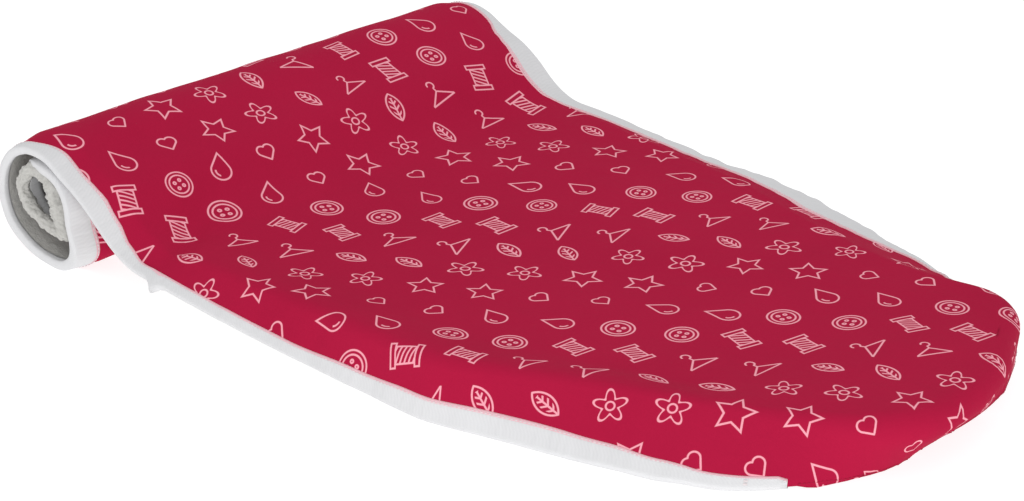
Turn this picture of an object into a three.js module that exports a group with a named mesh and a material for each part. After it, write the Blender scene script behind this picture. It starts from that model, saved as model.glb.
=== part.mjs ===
// A padded ironing board cover: its heel end is rolled up, print outwards, and its nose end lies
// open with the side skirts folding down to the floor. Millimetres, +Z up, X along the cover
// towards the nose, Y across it. The origin is the middle of the bottom of the whole cover.
import * as THREE from "three";

const { degToRad, radToDeg, lerp, smoothstep } = THREE.MathUtils;

// Layers, from the print inwards
const COTTON_THICK = 0.8;
const WADDING_THICK = 7;
const WADDING_RIM_THICK = 5;
const WADDING_TAPER = 40;
const CLEARANCE = 0.3;

// Casing tape folded round the rim, with the elastic in its channel
const TAPE_THICK = 0.8;
const TAPE_LEG_WIDE = 23;
const INNER_LEG_SHARE = 0.6;
const ELASTIC_WIDTH = 6;
const ELASTIC_THICK = 1.2;
const ELASTIC_PLAY = 3;
const TAPE_END_PLAY = 18;

// The roll: a flattened spiral, leaning with the slope that leaves its top, and fuller at its
// free end than under the slope
const ROLL_LONG_RADIUS = 58;
const ROLL_UNDER_RADIUS = 46;
const ROLL_SHORT_RADIUS = 53;
const SLOPE_ANGLE = degToRad(29);
const ROLL_ANGLE = degToRad(558);
const ROLL_STEP = degToRad(24);
const LOOSE_FROM = degToRad(270);
const TURN_GAP = 2.3;
const TURN_STOPS = 8;
const SLACK_SHARE = 0.075;
const SLOPE_SWELL = 5;
const LANDING_RADIUS = 60;

// The open end
const ROLL_WIDTH = 500;
const PANEL_HEIGHT = 46;
const NOSE_HEIGHT = 48;
const TAIL_LENGTH = 594;
const NOSE_BULGE = 28;
const NOSE_SHAPE_POWER = 2.5;
const NOSE_BULGE_POWER = 6;
const CREASE_RADIUS = 14;

// The skirt's slant and drop
const ROLL_RIM_ANGLE = degToRad(14);
const ROLL_RIM_DROP = 7;
const INNER_TURN_RIM_SHARE = 0.3;
const NOSE_CORNER_ANGLE = degToRad(100);
const NOSE_TIP_ANGLE = degToRad(138);

// The pocket under the nose
const POCKET_THICK = 0.8;
const POCKET_HEM_BOW = 45;
const HEM_TAPE_WIDTH = 11;
const HEM_SIDE_GAP = 22;
const HEM_STEPS = 16;

// Sewing thread and bar tacks
const THREAD_WIDTH = 0.9;
const THREAD_THICK = 0.6;
const THREAD_LIFT = 0.5;
const SEAM_THREAD_LIFT = 1.2;
const STITCH_INSET = 2;
const TACK_LENGTH = 5;
const TACK_WIDTH = 2.4;
const TACK_INSET = 1;

// Half widths of the panel between its creases at stations along the open end, as shares of half
// the roll's width, with the slant in degrees and the share of the way to the floor that each
// skirt reaches: [along, near width, far width, near slant, far slant, near drop, far drop]
const OPEN_END_shares = [
  [0, 0.88, 0.88, 30, 14, 0.38, 0.18],
  [0.12, 0.865, 0.86, 42, 18, 0.58, 0.28],
  [0.25, 0.845, 0.825, 54, 20, 0.78, 0.36],
  [0.39, 0.835, 0.79, 62, 17, 0.9, 0.36],
  [0.46, 0.83, 0.755, 65, 15, 0.95, 0.33],
  [0.52, 0.815, 0.715, 65, 15, 1, 0.34],
  [0.6, 0.74, 0.675, 56, 17, 1, 0.4],
  [0.69, 0.65, 0.64, 47, 20, 1, 0.46],
  [0.77, 0.57, 0.625, 42, 26, 1, 0.58],
  [0.84, 0.505, 0.62, 42, 35, 1, 0.76],
  [0.9, 0.435, 0.61, 46, 48, 1, 0.95],
  [0.955, 0.345, 0.56, 64, 64, 1, 1],
];
const NOSE_CORNER_shares = [0.265, 0.44];
const PANEL_shares = [-1, -0.8, -0.45, 0, 0.45, 0.8, 1];
const CREASE_RINGS = 3;

// Where the open end's stations lie; the tape ends at the pocket's corners, third from the last
const STATION_shares = [
  0.05, 0.1, 0.16, 0.23, 0.31, 0.39, 0.46, 0.53, 0.6, 0.67, 0.74, 0.8, 0.85, 0.89, 0.925, 0.955, 0.975, 1,
];
const TAPE_END = 3;

// The tape's outer leg as shares of its width at the heel: [way, near, far]. The way counts turns
// of the roll below nought, the slope up to one and the open end up to two
const TAPE_LEG_shares = [
  [-0.72, 1, 1],
  [-0.5, 0.4, 0.4],
  [-0.12, 0.41, 0.45],
  [0, 0.7, 0.55],
  [0.22, 0.97, 1],
  [0.45, 0.75, 1.15],
  [0.67, 0.7, 1.15],
  [0.82, 0.56, 1.12],
  [0.95, 0.38, 1],
  [1.12, 0.37, 0.95],
  [1.27, 0.38, 1],
  [1.4, 0.58, 1.05],
  [1.54, 0.77, 1.1],
  [1.68, 0.81, 1.1],
  [1.81, 0.68, 1.1],
  [1.87, 0.52, 1.05],
  [1.925, 0.43, 1],
];
const SLOPE_shares = [0.2, 0.4, 0.6, 0.8, 1];
const LANDING_WAY_share = 0.8;
const SKIRT_SPREAD_share = 0.55;
const LANDING_shares = [0.5, 0];

const halfWidth = ROLL_WIDTH / 2;
const waddingDepth = COTTON_THICK + CLEARANCE;
const rimDepth = waddingDepth + WADDING_RIM_THICK;
const seamLift = POCKET_THICK + CLEARANCE;
const turnStep = waddingDepth + WADDING_THICK + TURN_GAP;

// How far down and out a skirt of this length reaches, past a rounded crease
function skirtAt(length, slant) {
  const bend = Math.min(Math.max(length, 0), CREASE_RADIUS * slant);
  const turned = bend / CREASE_RADIUS;
  const straight = length - bend;
  const out = CREASE_RADIUS * Math.sin(turned) + straight * Math.cos(turned);
  const down = CREASE_RADIUS * (1 - Math.cos(turned)) + straight * Math.sin(turned);
  return { out, down, turned };
}

function skirtLength(drop, slant) {
  const bent = CREASE_RADIUS * (1 - Math.cos(slant));
  return CREASE_RADIUS * slant + (drop - bent) / Math.sin(slant);
}

const fullDrop = (height, slant) => height - seamLift - Math.max(rimDepth * Math.cos(slant), 0);
const rollSkirt = skirtLength(ROLL_RIM_DROP, ROLL_RIM_ANGLE);
const rollCrease = halfWidth - skirtAt(rollSkirt, ROLL_RIM_ANGLE).out;

// The roll's section: local axes along the slope and square to it
const alongSlope = new THREE.Vector2(-Math.cos(SLOPE_ANGLE), Math.sin(SLOPE_ANGLE));
const offSlope = new THREE.Vector2(Math.sin(SLOPE_ANGLE), Math.cos(SLOPE_ANGLE));
const rollHeight = Math.hypot(ROLL_UNDER_RADIUS * alongSlope.y, ROLL_SHORT_RADIUS * offSlope.y);

function rollPoint(angle) {
  const quarters = Math.max(0, (angle - LOOSE_FROM) / (Math.PI / 2));
  const shrink = turnStep * quarters * (1 + SLACK_SHARE * (1 - quarters));
  const long = Math.sin(angle) < 0 ? ROLL_UNDER_RADIUS : ROLL_LONG_RADIUS;
  return new THREE.Vector2(0, rollHeight)
    .addScaledVector(alongSlope, (long - shrink) * Math.sin(angle))
    .addScaledVector(offSlope, (ROLL_SHORT_RADIUS - shrink) * Math.cos(angle));
}

// A row's values between two rows of a table, the first value being where the row lies
function between(table, at) {
  const found = table.findIndex((row) => row[0] > at);
  const to = found < 0 ? table.length - 1 : Math.max(found, 1);
  const t = smoothstep(at, table[to - 1][0], table[to][0]);
  return table[to].map((value, column) => lerp(table[to - 1][column], value, t));
}

// A station is one line across the cover: its place, its normal and the two skirts' measures
function station(x, z, normal, way, near, far, bulge = 0) {
  const [, nearLeg, farLeg] = between(TAPE_LEG_shares, way);
  return {
    x,
    z,
    normal: new THREE.Vector3(normal.x, 0, normal.y),
    near: { ...near, leg: TAPE_LEG_WIDE * nearLeg },
    far: { ...far, leg: TAPE_LEG_WIDE * farLeg },
    bulge,
  };
}

// The normal of a profile at a value of its parameter, the profile running towards the nose
function normalOf(profile, value, step) {
  const along = profile(value + step).sub(profile(value - step)).normalize();
  return new THREE.Vector2(-along.y, along.x);
}

function rollSide(angle, normal) {
  const inner = lerp(1, INNER_TURN_RIM_SHARE, smoothstep(angle, Math.PI * 2, Math.PI * 2.7));
  const laid = lerp(INNER_TURN_RIM_SHARE, 1, (normal.y + 1) / 2);
  return { width: rollCrease, slant: ROLL_RIM_ANGLE * Math.min(inner, laid), skirt: rollSkirt };
}

function rollStations() {
  const angles = [ROLL_ANGLE];
  const first = Math.ceil(ROLL_ANGLE / ROLL_STEP) - 1;
  for (let k = first; k >= 0; k--) angles.push(k * ROLL_STEP);
  return angles.map((angle) => {
    const normal = normalOf(rollPoint, angle, -ROLL_STEP / 100);
    const p = rollPoint(angle);
    const side = rollSide(angle, normal);
    return station(p.x, p.y, normal, -angle / (Math.PI * 2), side, side);
  });
}

const topOfSlope = rollPoint(0);
const slopeLength = (topOfSlope.y - PANEL_HEIGHT) / Math.sin(SLOPE_ANGLE);
const landingX = topOfSlope.x + slopeLength * Math.cos(SLOPE_ANGLE);
const landingCut = LANDING_RADIUS * Math.tan(SLOPE_ANGLE / 2);
const tailStart = landingX + landingCut;
const cornerX = tailStart + TAIL_LENGTH - NOSE_BULGE;

// The slope swells a little off a straight line, most near its middle
function slopePoint(share) {
  const swell = SLOPE_SWELL * Math.sin(Math.PI * Math.min(Math.max(share, 0), 1)) ** 2;
  return topOfSlope.clone()
    .addScaledVector(alongSlope, (landingCut - slopeLength) * share)
    .addScaledVector(offSlope, swell);
}

function landingPoint(share) {
  const angle = SLOPE_ANGLE * share;
  return new THREE.Vector2(
    tailStart - LANDING_RADIUS * Math.sin(angle),
    PANEL_HEIGHT + LANDING_RADIUS * (1 - Math.cos(angle)),
  );
}

function skirtSide(widthShare, slant, drop, height) {
  return { width: halfWidth * widthShare, slant, skirt: skirtLength(fullDrop(height, slant) * drop, slant) };
}

// Both sides' measures from a row of the open end's table
function sidesOf([, nearWidth, farWidth, nearSlant, farSlant, nearDrop, farDrop], height) {
  return [
    skirtSide(nearWidth, degToRad(nearSlant), Math.min(nearDrop, 1), height),
    skirtSide(farWidth, degToRad(farSlant), Math.min(farDrop, 1), height),
  ];
}

function slopeStations() {
  const top = rollSide(0, offSlope);
  const landed = sidesOf(OPEN_END_shares[0], PANEL_HEIGHT);
  const sides = (way) => landed.map((side) => {
    const measure = (key) => lerp(top[key], side[key], smoothstep(way, 0, SKIRT_SPREAD_share));
    return { width: measure("width"), slant: measure("slant"), skirt: measure("skirt") };
  });
  const down = SLOPE_shares.map((share) => {
    const p = slopePoint(share);
    const way = LANDING_WAY_share * share;
    return station(p.x, p.y, normalOf(slopePoint, share, ROLL_STEP / 100), way, ...sides(way));
  });
  const level = LANDING_shares.map((share) => {
    const p = landingPoint(share);
    const normal = new THREE.Vector2(Math.sin(SLOPE_ANGLE * share), Math.cos(SLOPE_ANGLE * share));
    const way = lerp(1, LANDING_WAY_share, share);
    return station(p.x, p.y, normal, way, ...sides(way));
  });
  return [...down, ...level];
}

// The open end's table with its last row, the nose's corners
const openEnd = [
  ...OPEN_END_shares,
  [1, ...NOSE_CORNER_shares, radToDeg(NOSE_CORNER_ANGLE), radToDeg(NOSE_CORNER_ANGLE), 1, 1],
];

// One column of the table at a share along the open end, as a smooth curve through its rows
function openEndAt(along, column) {
  const k = Math.min(openEnd.findIndex((row) => row[0] > along), openEnd.length - 1);
  const to = k < 1 ? openEnd.length - 1 : k;
  const slope = (a, b) => (openEnd[b][column] - openEnd[a][column]) / (openEnd[b][0] - openEnd[a][0]);
  const here = slope(to - 1, to);
  const before = to > 1 ? (here + slope(to - 2, to - 1)) / 2 : here;
  const after = to + 1 < openEnd.length ? (here + slope(to, to + 1)) / 2 : here;
  const span = openEnd[to][0] - openEnd[to - 1][0];
  const t = (along - openEnd[to - 1][0]) / span;
  const bend = t * (1 - t) * span;
  return lerp(openEnd[to - 1][column], openEnd[to][column], t)
    + bend * ((1 - t) * (before - here) - t * (after - here));
}

function tailStations() {
  const up = new THREE.Vector2(0, 1);
  return STATION_shares.map((along) => {
    const z = lerp(PANEL_HEIGHT, NOSE_HEIGHT, along);
    const row = openEnd[0].map((value, column) => openEndAt(along, column));
    const bulge = NOSE_BULGE * along ** NOSE_BULGE_POWER;
    return station(lerp(tailStart, cornerX, along), z, up, 1 + along, ...sidesOf(row, z), bulge);
  });
}

const stations = [...rollStations(), ...slopeStations(), ...tailStations()];
const last = stations.length - 1;
const columns = PANEL_shares.length - 1;

function panelPoint(row, share) {
  const s = stations[row];
  const width = share < 0 ? s.near.width : s.far.width;
  const x = s.x + s.bulge * (1 - Math.abs(share) ** NOSE_SHAPE_POWER);
  return new THREE.Vector3(x, share * width, s.z);
}

// The panel's edge, from the heel along the near side, round the nose and back along the far side
function edgeStops() {
  const stops = [];
  for (let i = 0; i <= last; i++) stops.push({ row: i, column: 0 });
  for (let j = 1; j <= columns; j++) stops.push({ row: last, column: j });
  for (let i = last - 1; i >= 0; i--) stops.push({ row: i, column: columns });
  return stops.map((stop) => {
    const share = PANEL_shares[stop.column];
    const s = stations[stop.row];
    const side = share < 0 ? s.near : s.far;
    const cloth = (skirt) => (stop.row <= last - TAPE_END ? skirt - side.leg - CLEARANCE : skirt);
    if (stop.row < last) return { ...stop, ...side, share, normal: s.normal, cloth: cloth(side.skirt) };
    const slant = lerp(NOSE_TIP_ANGLE, NOSE_CORNER_ANGLE, share * share);
    const skirt = skirtLength(fullDrop(s.z, slant), slant);
    return { ...stop, share, normal: s.normal, slant, skirt, leg: side.leg, cloth: cloth(skirt) };
  });
}

const edge = edgeStops();
edge.forEach((stop, b) => {
  const from = edge[Math.max(b - 1, 0)];
  const to = edge[Math.min(b + 1, edge.length - 1)];
  const along = panelPoint(to.row, to.share).sub(panelPoint(from.row, from.share));
  stop.place = panelPoint(stop.row, stop.share);
  stop.out = along.cross(stop.normal).normalize();
});

// A point of a skirt, this far past the crease and this deep under the print
function skirtPoint(stop, length, depth) {
  const { out, down, turned } = skirtAt(length, stop.slant);
  const n = stop.normal.clone().multiplyScalar(Math.cos(turned)).addScaledVector(stop.out, Math.sin(turned));
  return stop.place.clone()
    .addScaledVector(stop.out, out)
    .addScaledVector(stop.normal, -down)
    .addScaledVector(n, -depth);
}

// A closed solid from an outer face's points and triangles, and the points of the inner face
function shell(outer, inner, faces) {
  const open = new Map();
  for (const [a, b, c] of faces)
    for (const [from, to] of [[a, b], [b, c], [c, a]])
      if (!open.delete(`${to},${from}`)) open.set(`${from},${to}`, [from, to]);
  const n = outer.length;
  const all = faces.flatMap(([a, b, c]) => [a, b, c, c + n, b + n, a + n]);
  for (const [a, b] of open.values()) all.push(b, a, a + n, b, a + n, b + n);
  const geometry = new THREE.BufferGeometry().setFromPoints([...outer, ...inner]);
  geometry.setIndex(all);
  return geometry;
}

// How far down the skirt the layers' rings lie: round the crease, then at the cloth's own end
const rings = Array.from({ length: CREASE_RINGS }, (_, k) => (stop) =>
  Math.min(CREASE_RADIUS * stop.slant, stop.cloth - CLEARANCE) * (k + 1) / CREASE_RINGS);
rings.push((stop) => stop.cloth);

// A layer of the cover between two depths under the print; a depth may change towards the rim
function layer(outerDepth, innerDepth) {
  const wide = columns + 1;
  const start = stations.length * wide;
  const panelId = (row, column) => row * wide + column;
  const skirtId = (ring, b) => start + (ring - 1) * edge.length + b;
  const id = (ring, b) => (ring ? skirtId(ring, b) : panelId(edge[b].row, edge[b].column));
  const points = (depth) => [
    ...stations.flatMap((s, row) => PANEL_shares.map((share) => {
      const inset = (1 - Math.abs(share)) * (share < 0 ? s.near.width : s.far.width);
      return panelPoint(row, share).addScaledVector(s.normal, -depth(inset));
    })),
    ...rings.flatMap((ring) => edge.map((stop) => skirtPoint(stop, ring(stop), depth(0)))),
  ];
  const faces = [];
  for (let i = 0; i < last; i++)
    for (let j = 0; j < columns; j++) {
      const [a, b, c, d] = [panelId(i, j), panelId(i + 1, j), panelId(i + 1, j + 1), panelId(i, j + 1)];
      faces.push([a, b, c], [a, c, d]);
    }
  for (let ring = 0; ring < rings.length; ring++)
    for (let b = 0; b + 1 < edge.length; b++) {
      const [p, q, r, s] = [id(ring, b), id(ring, b + 1), id(ring + 1, b + 1), id(ring + 1, b)];
      faces.push([p, s, r], [p, r, q]);
    }
  return shell(points(outerDepth), points(innerDepth), faces);
}

const waddingBottom = (inset) =>
  waddingDepth + lerp(WADDING_RIM_THICK, WADDING_THICK, smoothstep(inset, 0, WADDING_TAPER));

// The rim's frame at each stop: the rim point, the way out of the cloth and the print's normal
function rimFrame(stop) {
  const turned = Math.min(stop.skirt / CREASE_RADIUS, stop.slant);
  return {
    place: skirtPoint(stop, stop.skirt, 0),
    out: stop.out.clone().multiplyScalar(Math.cos(turned)).addScaledVector(stop.normal, -Math.sin(turned)),
    normal: stop.normal.clone().multiplyScalar(Math.cos(turned)).addScaledVector(stop.out, Math.sin(turned)),
    leg: stop.leg,
  };
}

// The casing runs from the near pocket corner back to the heel, across it and out to the far corner
function casingFrames() {
  const count = last + 1 - TAPE_END;
  const nearStops = edge.slice(0, count + 1);
  const farStops = edge.slice(edge.length - count - 1).reverse();
  const heelReach = CLEARANCE + TAPE_LEG_WIDE;
  const back = panelPoint(0, 0).sub(panelPoint(1, 0));
  back.addScaledVector(stations[0].normal, -back.dot(stations[0].normal)).normalize();
  const corner = (stop) => {
    const frame = rimFrame(stop);
    return { ...frame, place: frame.place.addScaledVector(back, heelReach), out: frame.out.add(back) };
  };
  const slantedEnd = (stops) => {
    const tip = rimFrame(stops[count]);
    const stop = stops[count - 1];
    const along = rimFrame(stop).place.sub(tip.place).normalize();
    const from = skirtPoint(stop, stop.skirt - stop.leg, 0).addScaledVector(along, -CLEARANCE);
    tip.place.addScaledVector(along, CLEARANCE * TAPE_END_PLAY);
    return { ...tip, out: tip.place.clone().sub(from).divideScalar(stop.leg), leg: stop.leg };
  };
  const side = (stops) => [...stops.slice(0, count).map(rimFrame), slantedEnd(stops)];
  const heel = PANEL_shares.map((share) => ({
    place: panelPoint(0, share).addScaledVector(back, heelReach),
    out: back,
    normal: stations[0].normal,
    leg: TAPE_LEG_WIDE,
  }));
  const nearHalf = [...side(nearStops).reverse(), corner(nearStops[0])];
  return [...nearHalf, ...heel, corner(farStops[0]), ...side(farStops)];
}

// The space inside a closed surface, negative where its faces point inwards
function volume(points, index) {
  let sum = 0;
  for (let i = 0; i < index.length; i += 3) {
    const [a, b, c] = [points[index[i]], points[index[i + 1]], points[index[i + 2]]];
    sum += a.dot(b.clone().cross(c)) / 6;
  }
  return sum;
}

// A solid swept along frames: its section's points are [outwards from the rim, depth]. The faces of
// the section's two halves are split the same way, so a thin wall stays as thick where it twists
function sweep(frames, section) {
  const points = frames.flatMap((frame) => section(frame).map(([out, depth]) =>
    frame.place.clone().addScaledVector(frame.out, out).addScaledVector(frame.normal, -depth)));
  const n = points.length / frames.length;
  const index = [];
  for (let f = 0; f + 1 < frames.length; f++)
    for (let k = 0; k < n; k++) {
      const [a, b] = [f * n + k, f * n + ((k + 1) % n)];
      if (k < n / 2) index.push(a, b, b + n, a, b + n, a + n);
      else index.push(a, b, a + n, b, b + n, a + n);
    }
  const flat = section(frames[0]).map(([x, y]) => new THREE.Vector2(x, y));
  const caps = THREE.ShapeUtils.triangulateShape(flat, []);
  const end = points.length - n;
  for (const [a, b, c] of caps) index.push(a, c, b, end + a, end + b, end + c);
  const geometry = new THREE.BufferGeometry().setFromPoints(points);
  geometry.setIndex(volume(points, index) < 0 ? index.reverse() : index);
  return geometry;
}

const frames = casingFrames();
const casingSection = ({ leg }) => [
  [-leg, TAPE_THICK],
  [-leg, 0],
  [0, 0],
  [0, rimDepth],
  [-leg * INNER_LEG_SHARE, rimDepth],
  [-leg * INNER_LEG_SHARE, rimDepth - TAPE_THICK],
  [-TAPE_THICK, rimDepth - TAPE_THICK],
  [-TAPE_THICK, TAPE_THICK],
];

const box = (out, wide, depth, thick) => [
  [out - wide, depth],
  [out, depth],
  [out, depth + thick],
  [out - wide, depth + thick],
];

const elasticIn = TAPE_THICK + CLEARANCE;
const elasticDepth = TAPE_THICK + CLEARANCE * ELASTIC_PLAY;
const elasticSection = () => box(-elasticIn, ELASTIC_WIDTH, elasticDepth, ELASTIC_THICK);
const threadDepth = -THREAD_LIFT - THREAD_THICK;
const casingThread = ({ leg }) =>
  box(STITCH_INSET + THREAD_WIDTH - leg, THREAD_WIDTH, threadDepth, THREAD_THICK);

// The pocket: a flat panel under the nose, sewn to the cover's rim from corner to corner
const pocketStops = edge.slice(last + 1 - TAPE_END, last + columns + TAPE_END);
const pocketRim = pocketStops.map((stop) => skirtPoint(stop, stop.skirt, 0));
const hemHalf = (pocketRim[pocketRim.length - 1].y - pocketRim[0].y) / 2 - HEM_SIDE_GAP;
const pocketMid = pocketRim[0].clone().add(pocketRim[pocketRim.length - 1]).multiplyScalar(0.5);

function hemPoints(forward) {
  const [from, to] = [pocketRim[pocketRim.length - 1], pocketRim[0]];
  const middle = new THREE.Vector2(pocketMid.x - POCKET_HEM_BOW + forward, pocketMid.y);
  const curve = new THREE.QuadraticBezierCurve(
    new THREE.Vector2(from.x + forward, from.y),
    middle.clone().multiplyScalar(2).sub(new THREE.Vector2(pocketMid.x + forward, pocketMid.y)),
    new THREE.Vector2(to.x + forward, to.y),
  );
  return curve.getPoints(HEM_STEPS);
}

function flatPanel(outline, bottom, thick) {
  const shape = new THREE.Shape(outline);
  const geometry = new THREE.ExtrudeGeometry(shape, { depth: thick, bevelEnabled: false });
  return geometry.translate(0, 0, bottom);
}

function pocketPanel() {
  const rim = pocketRim.map((p) => new THREE.Vector2(p.x, p.y));
  return flatPanel([...rim, ...hemPoints(0).slice(1, -1)], 0, POCKET_THICK);
}

// A strip or thread along the hem, this far in from the pocket's free edge
function hemStrip(inset, width, bottom, thick) {
  const clear = (p) => p.y > pocketMid.y - hemHalf && p.y < pocketMid.y + hemHalf;
  const back = hemPoints(inset).filter(clear);
  const front = hemPoints(inset + width).filter(clear).reverse();
  return flatPanel([...back, ...front], bottom, thick);
}

const seamFrames = pocketStops.slice(1, -1).map(rimFrame);
const seamThreadDepth = -SEAM_THREAD_LIFT - THREAD_THICK;
const seamSection = () => box(-STITCH_INSET, THREAD_WIDTH, seamThreadDepth, THREAD_THICK);

function tack(frame, towards) {
  const along = towards.place.clone().sub(frame.place).normalize();
  const next = frame.place.clone().addScaledVector(along, TACK_WIDTH);
  const section = () => box(-TACK_INSET, TACK_LENGTH, threadDepth, THREAD_THICK);
  return sweep([frame, { ...frame, place: next }], section);
}

const cover = new THREE.Group();

function add(name, geometry, color, roughness) {
  const mesh = new THREE.Mesh(geometry, new THREE.MeshStandardMaterial({ color, roughness, metalness: 0 }));
  mesh.name = name;
  cover.add(mesh);
  return mesh;
}

const RED = 0xa81539;
const WHITE = 0xe6e8e8;
const THREAD = 0xf2f0ee;

add("printed_cover", layer(() => 0, () => COTTON_THICK), RED, 0.85);
add("wadding_pad", layer(() => waddingDepth, waddingBottom), 0xd9d6d2, 0.95);
add("edge_casing", sweep(frames, casingSection), WHITE, 0.8);
add("edge_elastic", sweep(frames, elasticSection), 0xefefea, 0.7);
add("casing_stitching", sweep(frames, casingThread), THREAD, 0.6);
add("nose_pocket", pocketPanel(), RED, 0.85);
add("pocket_hem_tape", hemStrip(0, HEM_TAPE_WIDTH, seamLift, TAPE_THICK), WHITE, 0.8);
const hemThreadIn = HEM_TAPE_WIDTH / 2;
const hemThreadBottom = seamLift + TAPE_THICK + CLEARANCE;
add("pocket_hem_stitching", hemStrip(hemThreadIn, THREAD_WIDTH, hemThreadBottom, THREAD_THICK), THREAD, 0.6);
add("pocket_seam_stitching", sweep(seamFrames, seamSection), THREAD, 0.6);
add("bartack_near", tack(frames[0], frames[1]), THREAD, 0.6);
add("bartack_far", tack(frames[frames.length - 1], frames[frames.length - 2]), THREAD, 0.6);

// The least gap between the turns of the roll at mid width, and the cover's length when spread flat
const middleLine = stations.map((s, row) => panelPoint(row, 0));
const underside = stations.map((s, row) =>
  panelPoint(row, 0).addScaledVector(s.normal, -waddingBottom(halfWidth)));
const nearest = new THREE.Vector3();
let turnGap = Infinity;
let flatLength = CLEARANCE + TAPE_LEG_WIDE + edge[last + columns / 2].skirt;
for (let i = 0; i < last; i++) {
  flatLength += middleLine[i].distanceTo(middleLine[i + 1]);
  const line = new THREE.Line3(middleLine[i], middleLine[i + 1]);
  for (let k = i + TURN_STOPS; k <= last; k++) {
    line.closestPointToPoint(underside[k], true, nearest);
    turnGap = Math.min(turnGap, nearest.distanceTo(underside[k]));
  }
}
console.log(`least gap between turns ${turnGap.toFixed(2)} mm, flat length ${flatLength.toFixed(0)} mm`);

const bounds = new THREE.Box3().setFromObject(cover);
const middle = bounds.getCenter(new THREE.Vector3());
cover.children.forEach((mesh) => mesh.geometry.translate(-middle.x, -middle.y, -bounds.min.z));

export default cover;
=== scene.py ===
"""A padded ironing board cover, rolled up at the heel and laid open at the nose, in metres.

X runs along the cover towards the nose, Y across it and Z up. The print faces out, the casing tape
folds round the rim, and the wadding shows in the end of the roll.
"""

import math

import bmesh
import bpy
from bpy.props import FloatProperty, FloatVectorProperty, PointerProperty
from mathutils import Matrix, Vector, noise


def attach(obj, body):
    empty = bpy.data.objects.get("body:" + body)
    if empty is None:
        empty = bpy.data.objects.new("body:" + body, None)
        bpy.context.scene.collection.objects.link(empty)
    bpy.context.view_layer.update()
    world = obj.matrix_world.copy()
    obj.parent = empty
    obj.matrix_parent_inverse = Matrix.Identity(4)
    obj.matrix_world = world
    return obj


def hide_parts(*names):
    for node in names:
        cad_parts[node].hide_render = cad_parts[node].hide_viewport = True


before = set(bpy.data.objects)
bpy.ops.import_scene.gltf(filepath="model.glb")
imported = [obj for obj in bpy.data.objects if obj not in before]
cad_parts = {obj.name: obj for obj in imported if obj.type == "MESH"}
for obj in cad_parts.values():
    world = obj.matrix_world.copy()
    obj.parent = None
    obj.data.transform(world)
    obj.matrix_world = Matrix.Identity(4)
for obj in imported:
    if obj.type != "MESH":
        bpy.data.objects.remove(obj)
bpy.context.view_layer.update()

bl_info = {
    "name": "Padded Ironing Board Cover",
    "version": (1, 0, 0),
    "blender": (4, 5, 0),
    "location": "3D View > Sidebar > Board Cover",
    "description": "Builds a padded ironing board cover, rolled up at the heel, with its floor and lights",
    "category": "Add Mesh",
}

MM = 0.001

# The roll and its slope
ROLL_X = -342.9 * MM
LONG_RADIUS = 58 * MM
UNDER_RADIUS = 46 * MM
SHORT_RADIUS = 53 * MM
SLOPE = math.radians(29)
ROLL_END = math.radians(558)
LOOSE_FROM = math.radians(270)
TURN_STEP = 10.4 * MM
SLACK_SHARE = 0.075
LANDING_RADIUS = 60 * MM
ROLL_STEP = math.radians(4)
SLOPE_SWELL = 5 * MM

# The open end
HALF_WIDTH = 250 * MM
PANEL_HEIGHT = 46 * MM
NOSE_HEIGHT = 48 * MM
TAIL_LENGTH = 599 * MM
NOSE_BULGE = 31 * MM
NOSE_SKEW = 0.2
NOSE_SHAPE_POWER = 2.2
NOSE_BULGE_POWER = 6
CREASE_RADIUS = 14 * MM
RIM_ANGLE = math.radians(14)
RIM_DROP = 7 * MM
INNER_TURN_RIM = 0.3
INNER_TURN_INSET = 12 * MM
NOSE_CORNER_ANGLE = math.radians(100)
NOSE_TIP_ANGLE = math.radians(138)
SEAM_LIFT = 1.1 * MM

# Layers
COTTON = 0.5 * MM
WADDING_TOP = 0.9 * MM
WADDING_DEEP = 7.6 * MM
WADDING_RIM = 5.6 * MM
RIM_DEPTH = 6.1 * MM
LEG_WIDE = 23 * MM
INNER_LEG = 0.6
CLEARANCE = 0.3 * MM
MERGE = 0.02 * MM
TAPE = 0.5 * MM
TAPE_LIFT = 0.9 * MM
LEAST_LEG = 3.2 * MM
BAND = 0.8 * MM
BAND_DEEP = 3 * MM
WADDING_INSET = 1.2 * MM
WADDING_THINS = 40 * MM
LUMP_WIDE, LUMP_DEEP, LUMP_HIGH = 14 * MM, 10 * MM, 0.5 * MM
TAPE_BEND_STEPS = 6

# The nose pocket and its bound edge
POCKET_TUCK = 14 * MM
POCKET_BOW = 180 * MM
POCKET_LIFT = 0.75 * MM
POCKET_PUFF = 1.2 * MM
POCKET_ROWS = 14
POCKET_PRINT = 1.6
HEM_WIDTH = 12 * MM
HEM_LIFT = 2.3 * MM
HEM_STEPS = 59

# The stitches: their width and height in threads, the seam's place on the tape and the bar tacks
STITCH_WIDE, STITCH_HIGH = 1.9, 1.5
LUMP_ORDER = Vector((100, 10, 1))
SEAM_INSET, SEAM_RISE = 2.2 * MM, 1.2 * MM
TACK_ROWS = 9
TACK_STEP = 0.3 * MM
TACK_PITCH = 2.4 * MM
TACK_RISE = 1.3 * MM
TACK_ENDS = (-6 * MM, -1 * MM)

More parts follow.
